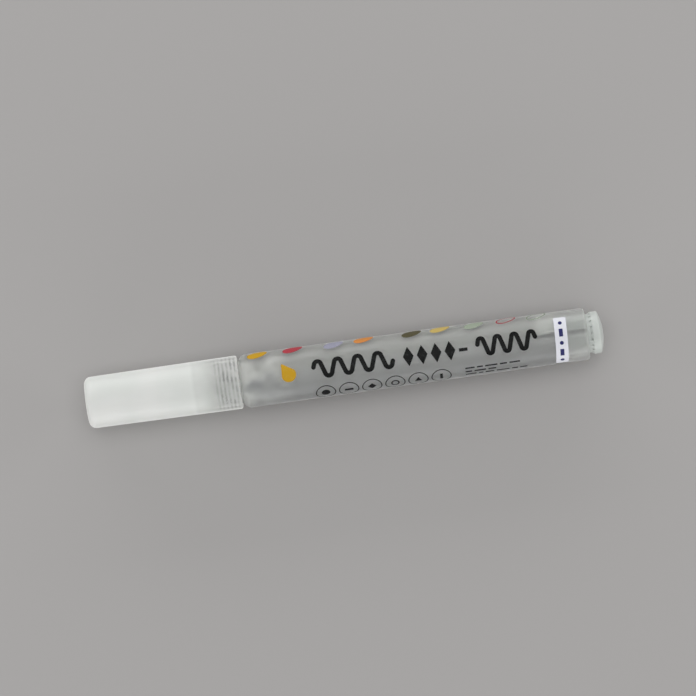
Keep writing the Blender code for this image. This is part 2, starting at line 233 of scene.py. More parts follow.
def fill(tree, sockets, values):
    # another node's output is linked, and a plain value is set on the socket
    for key, value in values.items():
        if isinstance(value, bpy.types.NodeSocket):
            tree.links.new(value, sockets[key])
        else:
            sockets[key].default_value = value


def addNode(tree, kind, values):
    node = tree.nodes.new(kind)
    fill(tree, node.inputs, values)
    return node


def newGroup(name, inputs, outputs):
    group = bpy.data.node_groups.new(name, "ShaderNodeTree")
    for socket, value in inputs.items():
        made = group.interface.new_socket(socket, in_out="INPUT", socket_type="NodeSocketFloat")
        made.default_value = value
    for socket in outputs:
        group.interface.new_socket(socket, in_out="OUTPUT", socket_type="NodeSocketFloat")
    return group, group.nodes.new("NodeGroupInput").outputs, group.nodes.new("NodeGroupOutput").inputs


def useGroup(tree, group, values):
    node = tree.nodes.new("ShaderNodeGroup")
    node.node_tree = group
    fill(tree, node.inputs, values)
    return node.outputs


def mathNode(tree, operation, first, second=0.0):
    node = addNode(tree, "ShaderNodeMath", {0: first, 1: second})
    node.operation = operation
    return node.outputs[0]


def multiply(tree, first, second):
    return mathNode(tree, "MULTIPLY", first, second)


def rangeNode(tree, value, fromLow, fromHigh, toLow=0.0, toHigh=1.0):
    ends = {"Value": value, "From Min": fromLow, "From Max": fromHigh, "To Min": toLow, "To Max": toHigh}
    node = addNode(tree, "ShaderNodeMapRange", ends)
    node.interpolation_type = "SMOOTHSTEP"
    return node.outputs["Result"]


def fadeOver(tree, along, start, fade, toLow=0.0, toHigh=1.0):
    # fade gives both ends in millimetres from start
    return rangeNode(tree, along, (start + fade[0]) * mm, (start + fade[1]) * mm, toLow, toHigh)


def mixColours(tree, factor, first, second):
    node = tree.nodes.new("ShaderNodeMix")
    node.data_type = "RGBA"
    fill(tree, node.inputs, {0: factor, 6: first, 7: second})  # 6 and 7 are the two colours
    return node.outputs[2]


def objectCoords(tree, stretch=(1, 1, 1)):
    coords = tree.nodes.new("ShaderNodeTexCoord")
    values = {"Vector": coords.outputs["Object"], "Scale": stretch}
    return addNode(tree, "ShaderNodeMapping", values).outputs["Vector"]


def splitPlace(tree):
    return addNode(tree, "ShaderNodeSeparateXYZ", {"Vector": objectCoords(tree)}).outputs


def noiseOver(tree, vector, scale, detail=2.0, roughness=0.5):
    values = {"Vector": vector, "Scale": scale, "Detail": detail, "Roughness": roughness}
    return addNode(tree, "ShaderNodeTexNoise", values).outputs["Fac"]


def wander(tree, vector, scale, amount):
    # a slow drift to both sides of nothing
    return multiply(tree, mathNode(tree, "SUBTRACT", noiseOver(tree, vector, scale), 0.5), amount)


midNoise = (0.3, 0.7)  # most of a noise lies between these
grainDrift = {"scale": 0.06, "height": 0.6}  # shares of the fine grain's


def makeMouldGrain():
    # fine spark-eroded grain of a moulded skin, with slow drifts in its gloss
    inputs = {"Scale": 2500.0, "Gloss Low": 0.3, "Gloss High": 0.4}
    tree, given, result = newGroup("mouldGrain", inputs, ["Height", "Roughness"])
    place = objectCoords(tree)
    fine = noiseOver(tree, place, given["Scale"])
    slow = noiseOver(tree, place, multiply(tree, given["Scale"], grainDrift["scale"]), detail=3.0)
    height = mathNode(tree, "ADD", fine, multiply(tree, slow, grainDrift["height"]))
    gloss = rangeNode(tree, slow, *midNoise, given["Gloss Low"], given["Gloss High"])
    fill(tree, result, {"Height": height, "Roughness": gloss})
    return tree


rubs = {"stretch": (0.03, 1, 1), "hairs": (0.6, 0.7), "patchScale": 70.0, "patches": (0.4, 0.7)}


def makeHandlingMarks():
    # hairline rubs from hands and boxes, mostly lengthwise
    tree, given, result = newGroup("handlingMarks", {"Scale": 2600.0, "Amount": 0.5}, ["Mask"])
    lengthwise = noiseOver(tree, objectCoords(tree, rubs["stretch"]), given["Scale"], detail=1.0)
    where = noiseOver(tree, objectCoords(tree), rubs["patchScale"])
    hairs = rangeNode(tree, lengthwise, *rubs["hairs"])
    both = multiply(tree, hairs, rangeNode(tree, where, *rubs["patches"]))
    fill(tree, result, {"Mask": multiply(tree, both, given["Amount"])})
    return tree


def makeSoftClouds():
    tree, given, result = newGroup("softClouds", {"Scale": 120.0, "Low": 0.35, "High": 0.65}, ["Mask"])
    clouds = noiseOver(tree, objectCoords(tree), given["Scale"], detail=2.5, roughness=0.45)
    fill(tree, result, {"Mask": rangeNode(tree, clouds, given["Low"], given["High"])})
    return tree


# the paint is lighter on the far side, a painted sheen, and darker on the near side, painted shade
sheenSide = {
    "turn": 178.0,  # degrees round the axis to the pale side, from the front over the top
    "split": 1.2,  # where the painted sheen meets the painted shade, towards the pale side
    "paleFade": (-0.1, 0.5),  # from the split
    "edgeFade": (-1.2, -0.4),
    "driftScale": 110.0,
}


def makeSheenSplit():
    # how far each point lies towards the side with the painted sheen, and a dark line where that side ends
    c = sheenSide
    tree, given, result = newGroup("sheenSplit", {"Waver": 0.0}, ["Across", "Above", "Edge"])
    place = splitPlace(tree)
    side = math.radians(c["turn"])
    height = mathNode(tree, "SUBTRACT", place["Z"], axisHeight)
    towards = multiply(tree, place["Y"], -math.cos(side))
    across = mathNode(tree, "ADD", towards, multiply(tree, height, math.sin(side)))
    drift = wander(tree, objectCoords(tree), c["driftScale"], given["Waver"])
    wavering = mathNode(tree, "ADD", across, drift)
    above = fadeOver(tree, wavering, c["split"], c["paleFade"])
    below = fadeOver(tree, wavering, c["split"], c["edgeFade"])
    edge = multiply(tree, below, mathNode(tree, "SUBTRACT", 1.0, above))
    fill(tree, result, {"Across": across, "Above": above, "Edge": edge})
    return tree


ringGaps = {
    "waver": 0.5,
    "driftScale": 200.0,
    "driftStretch": (0.4, 1, 1),
    "softness": 0.6,
    "patchScale": 300.0,
    "patches": (0.35, 0.62, 0.3, 1.0),
    "frontFade": (-2.2, 1.2),  # from the last ring
    "rearFade": (1.7, 0.4),  # from the first ring
}


def makeRingBands():
    # where the gaps between the neck's snap rings lie, a little uneven round the neck
    c = ringGaps
    tree, given, result = newGroup("ringBands", {"Waver": c["waver"] * mm}, ["Gap", "Zone"])
    along = splitPlace(tree)["X"]
    drift = wander(tree, objectCoords(tree, c["driftStretch"]), c["driftScale"], given["Waver"])
    fromRing = mathNode(tree, "ADD", mathNode(tree, "SUBTRACT", along, firstRing * mm), drift)
    turns = multiply(tree, fromRing, fullTurn / (neckRings["pitch"] * mm))
    bands = rangeNode(tree, mathNode(tree, "COSINE", turns), c["softness"], -c["softness"])
    patches = rangeNode(tree, noiseOver(tree, objectCoords(tree), c["patchScale"]), *c["patches"])
    front = fadeOver(tree, along, lastRing, c["frontFade"])
    rear = fadeOver(tree, along, firstRing, c["rearFade"])
    fill(tree, result, {"Gap": multiply(tree, bands, patches), "Zone": multiply(tree, front, rear)})
    return tree


mouldGrain = makeMouldGrain()
handlingMarks = makeHandlingMarks()
softClouds = makeSoftClouds()
sheenSplit = makeSheenSplit()
ringBands = makeRingBands()
print("shader groups built")


# finishes


def startMaterial(name, values):
    material = bpy.data.materials.new(name)
    material.use_nodes = True
    tree = material.node_tree
    skin = tree.nodes["Principled BSDF"].inputs
    fill(tree, skin, values)
    return material, tree, skin


def dress(tree, skin, c, colour, roughness, height):
    strength, depth = c["bump"]
    values = {"Height": height, "Strength": strength, "Distance": depth * mm}
    normal = addNode(tree, "ShaderNodeBump", values).outputs["Normal"]
    fill(tree, skin, {"Base Color": colour, "Roughness": roughness, "Normal": normal})


def grainOver(tree, c):
    low, high = c["gloss"]
    return useGroup(tree, mouldGrain, {"Scale": c["grainScale"], "Gloss Low": low, "Gloss High": high})


def cloudsOver(tree, scale, low=0.35, high=0.65):
    # low and high are where the clouds start and fill
    return useGroup(tree, softClouds, {"Scale": scale, "Low": low, "High": high})["Mask"]


def plasticFinish(name, c):
    values = {
        "IOR": 1.49,
        "Transmission Weight": c["clear"],
        "Subsurface Weight": c["scatter"],
        "Subsurface Radius": (1.0, 1.0, 0.95),
        "Subsurface Scale": c["scatterDepth"] * mm,
        "Sheen Weight": c["sheen"],
        "Sheen Roughness": 0.35,
    }
    material, tree, skin = startMaterial(name, values)
    if "hides" in c:
        fill(tree, skin, {"Alpha": milkyWall(tree, c)})
    grain = grainOver(tree, c)
    marks = useGroup(tree, handlingMarks, {"Amount": c["marks"]})["Mask"]
    body = mixColours(tree, cloudsOver(tree, c["cloudScale"]), c["colour"], c["shade"])
    # painted shade between the neck's snap rings, with grey paint caught there
    if "gapPaintAndShade" in c:
        body = mixColours(tree, ringGapPaintAndShade(tree, c), body, c["gapPaintAndShade"])
    # painted shade on the plug under the barrel, with paint behind it
    if "paintAndShadeBehind" in c:
        body = showPaintAndShade(tree, body, c)
    rubbed = mixColours(tree, marks, body, c["rub"])
    roughness = mathNode(tree, "ADD", grain["Roughness"], marks)
    dress(tree, skin, c, rubbed, roughness, grain["Height"])
    return material


def milkyWall(tree, c):
    # a milky wall hides more where it is seen edge on, and less over the neck that nearly touches it
    atEnd, atNeck, atRings, atGaps = c["hides"]
    along = splitPlace(tree)["X"]
    step = fadeOver(tree, along, neckFront, c["neckFade"], atEnd, atNeck)
    neckStart = (neckFront + c["neckFade"][1]) * mm
    plain = rangeNode(tree, along, neckStart, lastRing * mm, step, atRings)
    rings = useGroup(tree, ringBands, {})
    banded = rangeNode(tree, rings["Gap"], 0.0, 1.0, atRings, atGaps)
    wall = rangeNode(tree, rings["Zone"], 0.0, 1.0, plain, banded)
    facing = addNode(tree, "ShaderNodeLayerWeight", {"Blend": 0.5}).outputs["Facing"]
    return rangeNode(tree, facing, *c["edgeFade"], wall, 1.0)


def ringGapPaintAndShade(tree, c):
    # darker between the snap rings of the neck: painted shade for the shadow in their gaps, with grey paint
    # caught there
    rings = useGroup(tree, ringBands, {})
    gaps = multiply(tree, rings["Gap"], rings["Zone"])
    return multiply(tree, gaps, cloudsOver(tree, *c["gapPaintAndShadeClouds"]))


def showPaintAndShade(tree, body, c):
    # where the barrel covers the plug: painted shade away from the pale side, with paint inside the hollow
    # plug showing through, and a dark line where the pale side ends
    level = useGroup(tree, sheenSplit, {})
    covered = fadeOver(tree, splitPlace(tree)["X"], barrelRim, c["paintFade"])
    wetAndShaded = multiply(tree, covered, mathNode(tree, "SUBTRACT", 1.0, level["Above"]))
    edge = multiply(tree, covered, level["Edge"])
    return mixColours(tree, edge, mixColours(tree, wetAndShaded, body, c["paintAndShadeBehind"]), c["coveredEdgeLine"])


nosePlastic = {
    "colour": srgb(230, 230, 226),
    "shade": srgb(223, 223, 218),
    "rub": srgb(220, 220, 216),
    "clear": 0.0,
    "scatter": 0.2,
    "scatterDepth": 1.0,
    "sheen": 0.0,
    "gloss": (0.38, 0.48),
    "grainScale": 2400.0,
    "cloudScale": 140.0,
    "marks": 0.15,
    "bump": (0.12, 0.03),  # strength and depth
}
linerPlastic = {**nosePlastic, "colour": srgb(224, 225, 222), "clear": 0.15, "gloss": (0.45, 0.55)}
valvePlastic = {**nosePlastic, "colour": srgb(222, 221, 211), "clear": 0.1, "gloss": (0.34, 0.44)}
capPlastic = {
    **nosePlastic,
    "colour": srgb(229, 230, 227),
    "shade": srgb(221, 224, 220),
    "rub": srgb(240, 240, 239),
    "hides": (0.80, 0.69, 0.32, 0.18),  # by each face: at the end, over the neck, its rings and their gaps
    "neckFade": (-0.8, 0.6),  # from the neck's mouth
    "edgeFade": (0.45, 0.95),
    "scatter": 0.5,
    "scatterDepth": 2.0,
    "sheen": 0.25,
    "gloss": (0.42, 0.52),
    "grainScale": 2600.0,
    "cloudScale": 60.0,
    "bump": (0.06, 0.03),
}
barrelPlastic = {
    **nosePlastic,
    "colour": srgb(240, 241, 239),
    "shade": srgb(236, 238, 236),
    "rub": srgb(245, 245, 244),
    # painted shade between the neck's snap rings, with grey paint caught there
    "gapPaintAndShade": srgb(80, 82, 86),
    "gapPaintAndShadeClouds": (300.0, 0.25, 0.55),
    "clear": 0.9,
    "scatter": 0.0,
    "sheen": 0.5,
    "gloss": (0.40, 0.48),
    "grainScale": 2600.0,
    "cloudScale": 70.0,
    "bump": (0.05, 0.03),
}
plugPlastic = {
    **nosePlastic,
    "colour": srgb(206, 211, 207),
    "shade": srgb(199, 204, 200),
    "rub": srgb(218, 221, 218),
    # painted shade on the plug under the barrel, with paint inside it showing through
    "paintAndShadeBehind": srgb(197, 200, 197),
    # a dark line where the pale side ends
    "coveredEdgeLine": srgb(36, 39, 38),
    "paintFade": (0.2, -1.0),  # from the rim
    "clear": 0.2,
    "scatter": 0.5,
    "scatterDepth": 1.5,
    "sheen": 0.12,
    "cloudScale": 150.0,
    "bump": (0.08, 0.03),
}

capFinish = plasticFinish("milkyCap", capPlastic)
barrelFinish = plasticFinish("frostedBarrel", barrelPlastic)
plugFinish = plasticFinish("palePlug", plugPlastic)
noseFinish = plasticFinish("whiteNose", nosePlastic)
linerFinish = plasticFinish("softLiner", linerPlastic)
valveFinish = plasticFinish("naturalValve", valvePlastic)

springSteel = {
    "colour": srgb(196, 196, 198),
    "shade": 0.86,
    "gloss": (0.22, 0.34),
    "grainScale": 3000.0,
    "stretch": (0.2, 1, 1),
    "bump": (0.06, 0.01),
}
ballSteel = {**springSteel, "colour": srgb(206, 206, 208), "gloss": (0.08, 0.16), "stretch": (1, 1, 1)}


def steelFinish(name, c):
    material, tree, skin = startMaterial(name, {"Metallic": 1.0})
    drawn = noiseOver(tree, objectCoords(tree, c["stretch"]), c["grainScale"])
    darker = [tone * c["shade"] for tone in c["colour"][:3]] + [1.0]
    tone = mixColours(tree, drawn, c["colour"], darker)
    dress(tree, skin, c, tone, rangeNode(tree, drawn, *midNoise, *c["gloss"]), drawn)
    return material


springFinish = steelFinish("drawnSteel", springSteel)
ballFinish = steelFinish("polishedSteel", ballSteel)


def coatFinish(name, c):
    material, tree, skin = startMaterial(name, {"Specular IOR Level": c["shine"]})
    grain = grainOver(tree, c)
    tone = mixColours(tree, cloudsOver(tree, *c["clouds"]), c["colour"], c["bloom"])
    dress(tree, skin, c, tone, grain["Roughness"], grain["Height"])
    return material


gasketRubber = {
    "colour": srgb(38, 38, 39),
    "bloom": srgb(50, 50, 50),
    "clouds": (700.0, 0.35, 0.65),
    "shine": 0.5,
    "gloss": (0.6, 0.75),
    "grainScale": 4000.0,
    "bump": (0.2, 0.03),
}
gasketFinish = coatFinish("gasketRubber", gasketRubber)

nibFibre = {
    "dry": srgb(222, 221, 216),
    "dryLines": srgb(202, 201, 195),
    "soaked": srgb(164, 165, 165),
    "soakedSpots": srgb(172, 173, 172),
    "soakedLines": srgb(142, 143, 143),
    "spotScale": 700.0,
    "soakedFade": (7.5, 3.0),  # from the point
    "strandScale": 7000.0,
    "stretch": (0.05, 1, 1),
    "lines": (0.35, 0.65),
    "roughness": 0.92,
    "bump": (0.6, 0.08),
}


def fibreFinish():
    # pressed fibre: fine lengthwise strands, stained grey towards the point
    c = nibFibre
    material, tree, skin = startMaterial("nibFibre", {})
    strands = noiseOver(tree, objectCoords(tree, c["stretch"]), c["strandScale"])
    lines = rangeNode(tree, strands, *c["lines"])
    dry = mixColours(tree, lines, c["dry"], c["dryLines"])
    spots = mixColours(tree, cloudsOver(tree, c["spotScale"]), c["soaked"], c["soakedSpots"])
    soaked = mixColours(tree, lines, spots, c["soakedLines"])
    stain = fadeOver(tree, splitPlace(tree)["X"], nibTip, c["soakedFade"])
    dress(tree, skin, c, mixColours(tree, stain, dry, soaked), c["roughness"], strands)
    return material


nibFinish = fibreFinish()

paintLook = {
    "body": srgb(161, 162, 161),
    "deep": srgb(120, 121, 122),  # painted shade on the near side
    "deepFade": (-6.0, 0.5),  # from the axis
    # painted sheen on the far side
    "pale": srgb(164, 165, 161),
    "waver": 2.0,
    "stirred": srgb(178, 179, 177),  # lighter paint behind the shoulder, over the painted shade
    "stirredShare": 0.6,
    "film": srgb(214, 215, 211),  # thin streaks left on the wall
    "streakClouds": (210.0, 0.42, 0.62),
    "shadow": srgb(124, 125, 129),
    "pocketClouds": (150.0, 0.48, 0.66),
    "streakLength": 17.0,  # behind the shoulder
    "streakFade": (0.0, -12.0),
    "shoulderLightFade": (3.0, 0.8),  # painted light at the shoulder: paler film that lifts the shade in the groove under the cap's mouth
    "shoulderLightShare": 0.75,
    "air": srgb(204, 206, 201),  # painted reflection over an air bubble at the rear
    # a dark line along the edge of the painted reflection
    "bubbleEdgeLine": srgb(88, 91, 91),
    "bubbleLength": 7.0,  # ahead of the plug
    "bubbleFade": (0.0, 2.5),
    "roughness": 0.6,
    "bump": (0.1, 0.1),
}


def paintFinish():
    # painted shade on the near side and a painted sheen on the far side, cloudy at the front, with a painted
    # reflection over an air bubble at the rear
    c = paintLook
    material, tree, skin = startMaterial("greyPaint", {})
    along = splitPlace(tree)["X"]
    level = useGroup(tree, sheenSplit, {"Waver": c["waver"] * mm})
    near = fadeOver(tree, along, shoulder + c["streakLength"], c["streakFade"])
    # painted shade, darker towards the near side
    shadedPaint = mixColours(tree, fadeOver(tree, level["Across"], 0.0, c["deepFade"]), c["deep"], c["body"])
    stirred = mixColours(tree, multiply(tree, near, c["stirredShare"]), shadedPaint, c["stirred"])
    paint = mixColours(tree, level["Above"], stirred, c["pale"])
    streaks = cloudsOver(tree, *c["streakClouds"])
    streaked = mixColours(tree, multiply(tree, streaks, near), paint, c["film"])
    pockets = multiply(tree, cloudsOver(tree, *c["pocketClouds"]), near)
    cloudy = mixColours(tree, pockets, streaked, c["shadow"])
    # painted light at the shoulder, lifting the shade in the groove under the cap's mouth
    collar = fadeOver(tree, along, shoulder, c["shoulderLightFade"], 0.0, c["shoulderLightShare"])
    lined = mixColours(tree, collar, cloudy, c["film"])
    calm = useGroup(tree, sheenSplit, {})
    bubble = fadeOver(tree, along, plugFront - c["bubbleLength"], c["bubbleFade"])
    # painted reflection over the air bubble at the rear, edged by a dark line
    bubbleLit = mixColours(tree, multiply(tree, bubble, calm["Above"]), lined, c["air"])
    edged = mixColours(tree, multiply(tree, bubble, calm["Edge"]), bubbleLit, c["bubbleEdgeLine"])
    dress(tree, skin, c, edged, c["roughness"], streaks)
    return material


greyPaint = paintFinish()

inkLook = {
    "shine": 0.12,
    "clouds": (1500.0, 0.5, 0.75),
    "starvedTone": 0.45,
    "starvedShare": 0.04,
    "gloss": (0.42, 0.56),
    "grainScale": 5000.0,
    "bump": (0.08, 0.02),
}


def inkFinish(name, colour):
    # screen-print ink: almost even, slightly starved in places
    c = inkLook
    paler = [tone + (c["starvedTone"] - tone) * c["starvedShare"] for tone in colour[:3]] + [1.0]
    return coatFinish(name, {**c, "colour": colour, "bloom": paler})


print("finishes mixed")


# cap and its seal

capShape = {
    "endRadius": 7.21,
    "endRounding": 1.9,
    "endThickness": 1.4,
    "mouthRounding": 0.75,
    "boreRadius": 6.5,
    "boreLength": 14.6,
    "floorRadius": 6.0,
    "ribPlaces": (4.5, 2.3),  # snap beads inside the mouth, between the neck's rings
    "ribHalves": (-0.3, -0.1),
    "ribRadius": 6.38,
    "gateRadius": 1.5,
    "gateDepth": 0.25,
    "gateSlope": 0.2,
    "segments": 120,
}


def buildCap():
    c = capShape
    floor = capEnd + c["endThickness"]
    gateFloor = capEnd + c["gateDepth"]
    corners = [
        (floor, 0, 0),
        (floor, c["floorRadius"], broadEdge),
        (capMouth - c["boreLength"], c["boreRadius"], 0),
    ]
    corners += ribCorners(capMouth, c["boreRadius"], c)
    corners += [
        (capMouth, c["boreRadius"], easedEdge),
        (capMouth, bodyRadius, c["mouthRounding"]),
        (capEnd, c["endRadius"], c["endRounding"]),
        (capEnd, c["gateRadius"], crispEdge),
        (gateFloor, c["gateRadius"] - c["gateSlope"], crispEdge),
        (gateFloor, 0, 0),
    ]
    turnPiece("capShell", corners, c, capFinish, "cap", ["cap_shell"])


linerShape = {"tubeRadius": 4.8, "boreRadius": 4.0, "baseRadius": 5.85, "baseThickness": 1.0, "segments": 96}


def buildLiner():
    c = linerShape
    floor = linerEnd + c["baseThickness"]
    corners = [
        (floor, 0, 0),
        (floor, c["boreRadius"], softEdge),
        (linerLip, c["boreRadius"], easedEdge),
        (linerLip, c["tubeRadius"], softEdge),
        (floor, c["tubeRadius"], softEdge),
        (floor, c["baseRadius"], fineEdge),
        (linerEnd, c["baseRadius"], fineEdge),
        (linerEnd, 0, 0),
    ]
    turnPiece("capSealLiner", corners, c, linerFinish, "cap", ["cap_seal_liner"])


buildCap()
buildLiner()
print("cap and seal turned")


# barrel, plug and paint

barrelShape = {
    "rearRadius": 7.265,
    "rearRounding": 0.8,
    "shoulderRounding": 2.2,
    "shoulderSteps": 10,
    "neckRadius": 6.05,
    "ribPlaces": ringPlaces,  # snap rings
    "ribHalves": (0.3, 0.105),
    "ribRadius": 6.3,
    "ribRounding": 0.08,
    "neckBore": 4.7,
    "coneStart": 1.0,
    "coneLength": 2.0,
    "chamberRadius": 5.9,
    "plugBore": 6.2,
    "ledgeGap": 0.2,
    "segments": 160,
}


def buildBarrel():
    c = barrelShape
    ledge = plugFront - c["ledgeGap"]
    corners = [
        (ledge, c["plugBore"], 0),
        (barrelRim, c["plugBore"], easedEdge),
        (barrelRim, c["rearRadius"], c["rearRounding"]),
    ]
    bend = c["shoulderRounding"]
    bendCentre = bodyRadius - bend
    bendEnd = math.acos((c["neckRadius"] - bendCentre) / bend)
    for i in range(c["shoulderSteps"] + 1):
        angle = bendEnd * i / c["shoulderSteps"]
        x = shoulder + bend - bend * math.sin(angle)
        corners.append((x, bendCentre + bend * math.cos(angle), 0))
    corners += ribCorners(shoulder, c["neckRadius"], c)
    coneStart = shoulder + c["coneStart"]
    corners += [
        (neckFront, c["neckRadius"], softEdge),
        (neckFront, c["neckBore"], easedEdge),
        (coneStart, c["neckBore"], 0),
        (coneStart + c["coneLength"], c["chamberRadius"], 0),
        (ledge, c["chamberRadius"], 0),
    ]
    turnPiece("barrelTube", corners, c, barrelFinish, "barrel", ["barrel"])


plugShape = {
    "radius": 5.93,
    "domeHeight": 1.2,
    "domeSteps": 12,
    "edgeRounding": 0.35,
    "grooveDepth": 0.5,
    "grooveWidth": 0.7,  # from the rim
    "grooveSlope": 0.9,
    "ribPlaces": (3.0, 6.0),  # ahead of the rim
    "ribHalves": (0.45, 0.35),
    "ribRadius": 6.03,
    "boreRadius": 4.75,
    "endThickness": 1.2,
    "gateRadius": 0.9,
    "gateDepth": 0.18,
    "gateSlope": 0.15,
    "gateRounding": 0.08,
    "ventCount": 20,
    "ventWidth": 6.0,  # degrees
    "ventDepth": 0.3,
    "ventMargin": 0.06,
    "ventLeast": 0.1,  # square millimetres, so that the roundings stay whole
    "segments": 120,
}


def buildPlug():
    c = plugShape
    sphere = (c["radius"] ** 2 + c["domeHeight"] ** 2) / (2 * c["domeHeight"])
    inner = plugEnd - c["domeHeight"] - c["endThickness"]
    gateFloor = plugEnd - c["gateDepth"]
    grooveRear = barrelRim + c["grooveWidth"]
    grooveRadius = c["radius"] - c["grooveDepth"]
    corners = [(gateFloor, 0, 0), (gateFloor, c["gateRadius"], c["gateRounding"])]
    lip = c["gateRadius"] + c["gateSlope"]
    for i in range(c["domeSteps"] + 1):
        radius = lip + (c["radius"] - lip) * i / c["domeSteps"]
        drop = sphere - math.sqrt(sphere**2 - radius**2)
        corners.append((plugEnd - drop, radius, c["edgeRounding"] if i == c["domeSteps"] else 0))
    corners += [
        (grooveRear + c["grooveSlope"], c["radius"], easedEdge),
        (grooveRear, grooveRadius, easedEdge),
        (barrelRim, grooveRadius, crispEdge),
        (barrelRim - c["grooveDepth"], c["radius"], crispEdge),
    ]
    corners += ribCorners(barrelRim, c["radius"], c)
    corners += [
        (plugFront, c["radius"], softEdge),
        (plugFront, c["boreRadius"], softEdge),
        (inner, c["boreRadius"], broadEdge),
        (inner, 0, 0),
    ]
    bm = turnOutline(corners, c["segments"])
    sinkVents(bm, grooveRear, grooveRear + c["grooveSlope"])
    makePiece("rearPlug", bm, plugFinish, "barrel", ["rear_plug"])


def sinkVents(bm, front, rear):
    # small vent notches round the slope behind the rim
    c = plugShape
    pitch = 360 / c["ventCount"]
    vents = []
    for face in bm.faces:
        centre = face.calc_center_median()
        turn = math.degrees(math.atan2(centre.z - axisHeight, centre.y)) % pitch
        onSlope = front < centre.x / mm < rear and fromAxis(centre) > c["boreRadius"] + c["ventDepth"]
        if onSlope and turn < c["ventWidth"] and face.calc_area() > c["ventLeast"] * mm * mm:
            vents.append(face)
    bmesh.ops.inset_region(bm, faces=vents, thickness=c["ventMargin"] * mm, depth=-c["ventDepth"] * mm)


paintShape = {"overlap": 0.03, "thickness": 0.15, "endGap": 0.3, "segments": 160}


def buildPaint():
    # wets the bore from the nose to the plug, a hair inside the wall so that no air shows between
    c = paintShape
    b = barrelShape
    coneStart = shoulder + b["coneStart"]
    wall = [
        (spigotRear + c["endGap"], b["neckBore"]),
        (coneStart, b["neckBore"]),
        (coneStart + b["coneLength"], b["chamberRadius"]),
        (plugFront - c["endGap"], b["chamberRadius"]),
    ]
    corners = [(x, radius + c["overlap"], 0) for x, radius in wall]
    corners += [(x, radius + c["overlap"] - c["thickness"], 0) for x, radius in reversed(wall)]
    turnPiece("paintInside", corners, c, greyPaint, "barrel", [])


buildBarrel()
buildPlug()
buildPaint()
print("barrel, plug and paint turned")


# nose, nib and valve

noseShape = {
    "flangeRadius": 6.03,
    "flangeRear": 0.2,  # ahead of the neck's mouth
    "flangeThickness": 1.2,
    "collarRadius": 5.25,
    "collarLength": 5.0,
    "taperRounding": 0.8,
    "landRadius": 3.8,
    "landLength": 4.5,
    "nibBore": 2.7,
    "webThickness": 1.4,
    "webHole": 2.0,
    "webGap": 2.2,  # behind the nib
    "valveBore": 3.45,
    "spigotRadius": 4.45,
    "ribPlaces": (2.6, 5.2),  # ahead of the spigot's rear
    "ribHalves": (0.4, 0.3),
    "ribRadius": 4.55,
    "segments": 96,
}


def buildNose():
    c = noseShape
    flangeRear = neckFront - c["flangeRear"]
    flangeFront = flangeRear - c["flangeThickness"]
    webFront = nibRear + c["webGap"]
    webRear = webFront + c["webThickness"]
    corners = [(spigotRear, c["valveBore"], fineEdge), (spigotRear, c["spigotRadius"], softEdge)]
    corners += ribCorners(spigotRear, c["spigotRadius"], c)
    corners += [
        (flangeRear, c["spigotRadius"], 0),
        (flangeRear, c["flangeRadius"], easedEdge),
        (flangeFront, c["flangeRadius"], softEdge),
        (flangeFront, c["collarRadius"], softEdge),
        (flangeFront - c["collarLength"], c["collarRadius"], c["taperRounding"]),
        (noseTip + c["landLength"], c["landRadius"], c["taperRounding"]),
        (noseTip, c["landRadius"], broadEdge),
        (noseTip, c["nibBore"], fineEdge),
        (webFront, c["nibBore"], 0),
        (webFront, c["webHole"], 0),
        (webRear, c["webHole"], 0),
        (webRear, c["valveBore"], 0),
    ]
    turnPiece("noseSection", corners, c, noseFinish, "barrel", ["nose_section"])


nibShape = {
    "radius": 2.48,
    "bulletLength": 3.4,
    "bulletSteps": 14,
    "tipRadius": 0.9,
    "tipRounding": 0.14,
    "segments": 96,
}


def buildNib():
    c = nibShape
    corners = [(nibRear, 0, 0), (nibRear, c["radius"], softEdge)]
    for i in range(c["bulletSteps"] + 1):
        angle = math.pi / 2 * i / c["bulletSteps"]
        radius = c["tipRadius"] + (c["radius"] - c["tipRadius"]) * math.cos(angle)
        x = nibTip + c["bulletLength"] * (1 - math.sin(angle))
        corners.append((x, radius, c["tipRounding"] if i == c["bulletSteps"] else 0))
    corners.append((nibTip, 0, 0))
    turnPiece("bulletNib", corners, c, nibFinish, "nib", ["nib"])


gasketShape = {"radius": 3.3, "hole": 2.1, "segments": 72}


def buildGasket():
    c = gasketShape
    corners = [
        (gasketRear, c["hole"], sealEdge),
        (gasketRear, c["radius"], sealEdge),
        (gasketFront, c["radius"], sealEdge),
        (gasketFront, c["hole"], sealEdge),
    ]
    turnPiece("valveGasket", corners, c, gasketFinish, "barrel", ["valve_gasket"])


plungerShape = {
    "poppetRadius": 2.3,
    "poppetSkirt": 1.2,
    "seatGap": 0.283,  # between the cone and the gasket's hole
    "frontStem": 1.2,
    "rearStem": 0.9,
    "rearRounding": 0.25,
    "segments": 72,
}


def buildPlunger():
    c = plungerShape
    skirtFront = gasketRear + c["poppetRadius"] - (gasketShape["hole"] - c["seatGap"])
    skirtRear = skirtFront + c["poppetSkirt"]
    coneFront = skirtFront - (c["poppetRadius"] - c["frontStem"])
    corners = [
        (stemRear, 0, 0),
        (stemRear, c["rearStem"], c["rearRounding"]),
        (skirtRear, c["rearStem"], fineEdge),
        (skirtRear, c["poppetRadius"], sealEdge),
        (skirtFront, c["poppetRadius"], sealEdge),
        (coneFront, c["frontStem"], 0),
        (stemFront, c["frontStem"], easedEdge),
        (stemFront, 0, 0),
    ]
    turnPiece("valvePlunger", corners, c, valveFinish, "nib", ["valve_plunger"])


cageShape = {
    "radius": 3.3,
    "bore": 2.5,
    "floorThickness": 1.1,
    "guideHole": 1.1,
    "slotWidth": 2.0,
    "slotLand": 0.5,
    "segments": 72,
}


